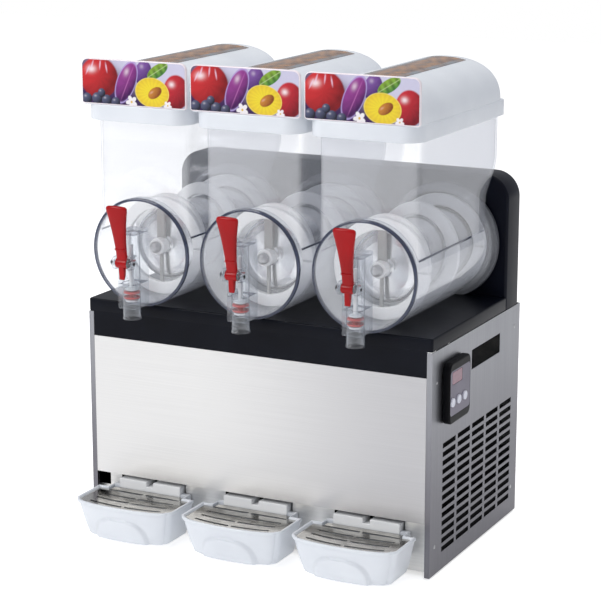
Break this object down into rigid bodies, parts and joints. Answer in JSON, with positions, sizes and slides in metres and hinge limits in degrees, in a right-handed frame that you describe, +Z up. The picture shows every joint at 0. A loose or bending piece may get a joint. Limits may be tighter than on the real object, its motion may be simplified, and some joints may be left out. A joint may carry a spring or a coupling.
{
  "type": "slush machine",
  "caption": "Counter-top slush machine: lying clear bowls with hoppers, lids and red lever taps on a louvred steel casing with a black rear housing, controls on its right side and drip trays.",
  "frame": {"origin": "bottom centre of the whole machine's box, on the surface it stands on", "axes": "+Z up, front with the taps at -Y, +X to the right of someone facing the front"},
  "size_m": [0.605, 0.4602, 0.756],
  "materials": {
    "brushed_steel": "brushed stainless sheet",
    "zinc_steel": "plain zinc-coated steel",
    "black_plastic": "satin black moulding",
    "clear_plastic": "clear, glossy",
    "white_plastic": "smooth, cool white",
    "red_plastic": "glossy red",
    "grey_rubber": "soft matt",
    "red_rubber": "soft matt",
    "black_rubber": "matt",
    "black_enamel": "semi-gloss enamel",
    "aluminium": "plain fin stock",
    "red_window": "dark red tinted window"
  },
  "bodies": {
    "frame": {"front_panel": "brushed_steel", "side_panel_left": "brushed_steel", "side_panel_right": "brushed_steel", "rear_panel": "zinc_steel", "base_pan": "zinc_steel", "deck": "black_plastic", "rear_housing": "black_plastic", "control_panel": "black_plastic", "display_window": "red_window", "compressor": "black_enamel", "condenser": "aluminium", "fan_motor": "zinc_steel", "power_inlet": "black_plastic", "foot_1": "black_rubber", "foot_2": "black_rubber", "foot_3": "black_rubber", "foot_4": "black_rubber", "evaporator_1": "brushed_steel", "gearmotor_1": "zinc_steel", "bowl_gasket_1": "grey_rubber", "evaporator_2": "brushed_steel", "gearmotor_2": "zinc_steel", "bowl_gasket_2": "grey_rubber", "evaporator_3": "brushed_steel", "gearmotor_3": "zinc_steel", "bowl_gasket_3": "grey_rubber"},
    "fan": {"condenser_fan": "black_plastic"},
    "bowl_1": {"bowl_1": "clear_plastic", "lever_pin_1": "clear_plastic"},
    "lid_1": {"lid_1": "white_plastic"},
    "tap_1": {"tap_lever_1": "red_plastic"},
    "plunger_1": {"tap_plunger_1": "white_plastic", "plunger_seal_1": "red_rubber"},
    "auger_1": {"auger_1": "white_plastic", "drive_shaft_1": "zinc_steel"},
    "tray_1": {"drip_tray_1": "white_plastic"},
    "grid_1": {"drip_grid_1": "brushed_steel"},
    "bowl_2": {"bowl_2": "clear_plastic", "lever_pin_2": "clear_plastic"},
    "lid_2": {"lid_2": "white_plastic"},
    "tap_2": {"tap_lever_2": "red_plastic"},
    "plunger_2": {"tap_plunger_2": "white_plastic", "plunger_seal_2": "red_rubber"},
    "auger_2": {"auger_2": "white_plastic", "drive_shaft_2": "zinc_steel"},
    "tray_2": {"drip_tray_2": "white_plastic"},
    "grid_2": {"drip_grid_2": "brushed_steel"},
    "bowl_3": {"bowl_3": "clear_plastic", "lever_pin_3": "clear_plastic"},
    "lid_3": {"lid_3": "white_plastic"},
    "tap_3": {"tap_lever_3": "red_plastic"},
    "plunger_3": {"tap_plunger_3": "white_plastic", "plunger_seal_3": "red_rubber"},
    "auger_3": {"auger_3": "white_plastic", "drive_shaft_3": "zinc_steel"},
    "tray_3": {"drip_tray_3": "white_plastic"},
    "grid_3": {"drip_grid_3": "brushed_steel"},
    "button_1": {"button_1": "white_plastic"},
    "button_2": {"button_2": "white_plastic"},
    "button_3": {"button_3": "white_plastic"}
  },
  "joints": [
    {"name": "fan_spin", "type": "hinge", "parent": "frame", "child": "fan", "pos_m": [0.21445, 0.04985, 0.108], "axis": [1, 0, 0], "continuous": true},
    {"name": "bowl_1_pull_off", "type": "slide", "parent": "frame", "child": "bowl_1", "axis": [0, -1, 0], "range_m": [0, 0.27]},
    {"name": "lid_1_lift", "type": "slide", "parent": "bowl_1", "child": "lid_1", "axis": [0, 0, 1], "range_m": [0, 0.08]},
    {"name": "tap_1_pull", "type": "hinge", "parent": "bowl_1", "child": "tap_1", "pos_m": [-0.19755, -0.19565, 0.452], "axis": [1, 0, 0], "range_deg": [0, 40], "stiffness_Nm_per_rad": 0.4, "springref_deg": -28.65},
    {"name": "plunger_1_rise", "type": "slide", "parent": "bowl_1", "child": "plunger_1", "axis": [0, 0, 1], "range_m": [0, 0.0155]},
    {"name": "auger_1_turn", "type": "hinge", "parent": "frame", "child": "auger_1", "pos_m": [-0.19755, 0.02985, 0.4585], "axis": [0, 1, 0], "continuous": true},
    {"name": "tray_1_pull_off", "type": "slide", "parent": "frame", "child": "tray_1", "axis": [0, -1, 0], "range_m": [0, 0.05]},
    {"name": "grid_1_lift", "type": "slide", "parent": "tray_1", "child": "grid_1", "axis": [0, 0, 1], "range_m": [0, 0.06]},
    {"name": "bowl_2_pull_off", "type": "slide", "parent": "frame", "child": "bowl_2", "axis": [0, -1, 0], "range_m": [0, 0.27]},
    {"name": "lid_2_lift", "type": "slide", "parent": "bowl_2", "child": "lid_2", "axis": [0, 0, 1], "range_m": [0, 0.08]},
    {"name": "tap_2_pull", "type": "hinge", "parent": "bowl_2", "child": "tap_2", "pos_m": [-0.00755, -0.19565, 0.452], "axis": [1, 0, 0], "range_deg": [0, 40], "stiffness_Nm_per_rad": 0.4, "springref_deg": -28.65},
    {"name": "plunger_2_rise", "type": "slide", "parent": "bowl_2", "child": "plunger_2", "axis": [0, 0, 1], "range_m": [0, 0.0155]},
    {"name": "auger_2_turn", "type": "hinge", "parent": "frame", "child": "auger_2", "pos_m": [-0.00755, 0.02985, 0.4585], "axis": [0, 1, 0], "continuous": true},
    {"name": "tray_2_pull_off", "type": "slide", "parent": "frame", "child": "tray_2", "axis": [0, -1, 0], "range_m": [0, 0.05]},
    {"name": "grid_2_lift", "type": "slide", "parent": "tray_2", "child": "grid_2", "axis": [0, 0, 1], "range_m": [0, 0.06]},
    {"name": "bowl_3_pull_off", "type": "slide", "parent": "frame", "child": "bowl_3", "axis": [0, -1, 0], "range_m": [0, 0.27]},
    {"name": "lid_3_lift", "type": "slide", "parent": "bowl_3", "child": "lid_3", "axis": [0, 0, 1], "range_m": [0, 0.08]},
    {"name": "tap_3_pull", "type": "hinge", "parent": "bowl_3", "child": "tap_3", "pos_m": [0.18245, -0.19565, 0.452], "axis": [1, 0, 0], "range_deg": [0, 40], "stiffness_Nm_per_rad": 0.4, "springref_deg": -28.65},
    {"name": "plunger_3_rise", "type": "slide", "parent": "bowl_3", "child": "plunger_3", "axis": [0, 0, 1], "range_m": [0, 0.0155]},
    {"name": "auger_3_turn", "type": "hinge", "parent": "frame", "child": "auger_3", "pos_m": [0.18245, 0.02985, 0.4585], "axis": [0, 1, 0], "continuous": true},
    {"name": "tray_3_pull_off", "type": "slide", "parent": "frame", "child": "tray_3", "axis": [0, -1, 0], "range_m": [0, 0.05]},
    {"name": "grid_3_lift", "type": "slide", "parent": "tray_3", "child": "grid_3", "axis": [0, 0, 1], "range_m": [0, 0.06]},
    {"name": "button_1_press", "type": "slide", "parent": "frame", "child": "button_1", "axis": [-1, 0, 0], "range_m": [0, 0.0015], "stiffness_N_per_m": 400},
    {"name": "button_2_press", "type": "slide", "parent": "frame", "child": "button_2", "axis": [-1, 0, 0], "range_m": [0, 0.0015], "stiffness_N_per_m": 400},
    {"name": "button_3_press", "type": "slide", "parent": "frame", "child": "button_3", "axis": [-1, 0, 0], "range_m": [0, 0.0015], "stiffness_N_per_m": 400}
  ],
  "couplings": [
    {"joint": "plunger_1_rise", "follows": "tap_1_pull", "m_per_rad": 0.02077},
    {"joint": "plunger_2_rise", "follows": "tap_2_pull", "m_per_rad": 0.02077},
    {"joint": "plunger_3_rise", "follows": "tap_3_pull", "m_per_rad": 0.02077}
  ]
}
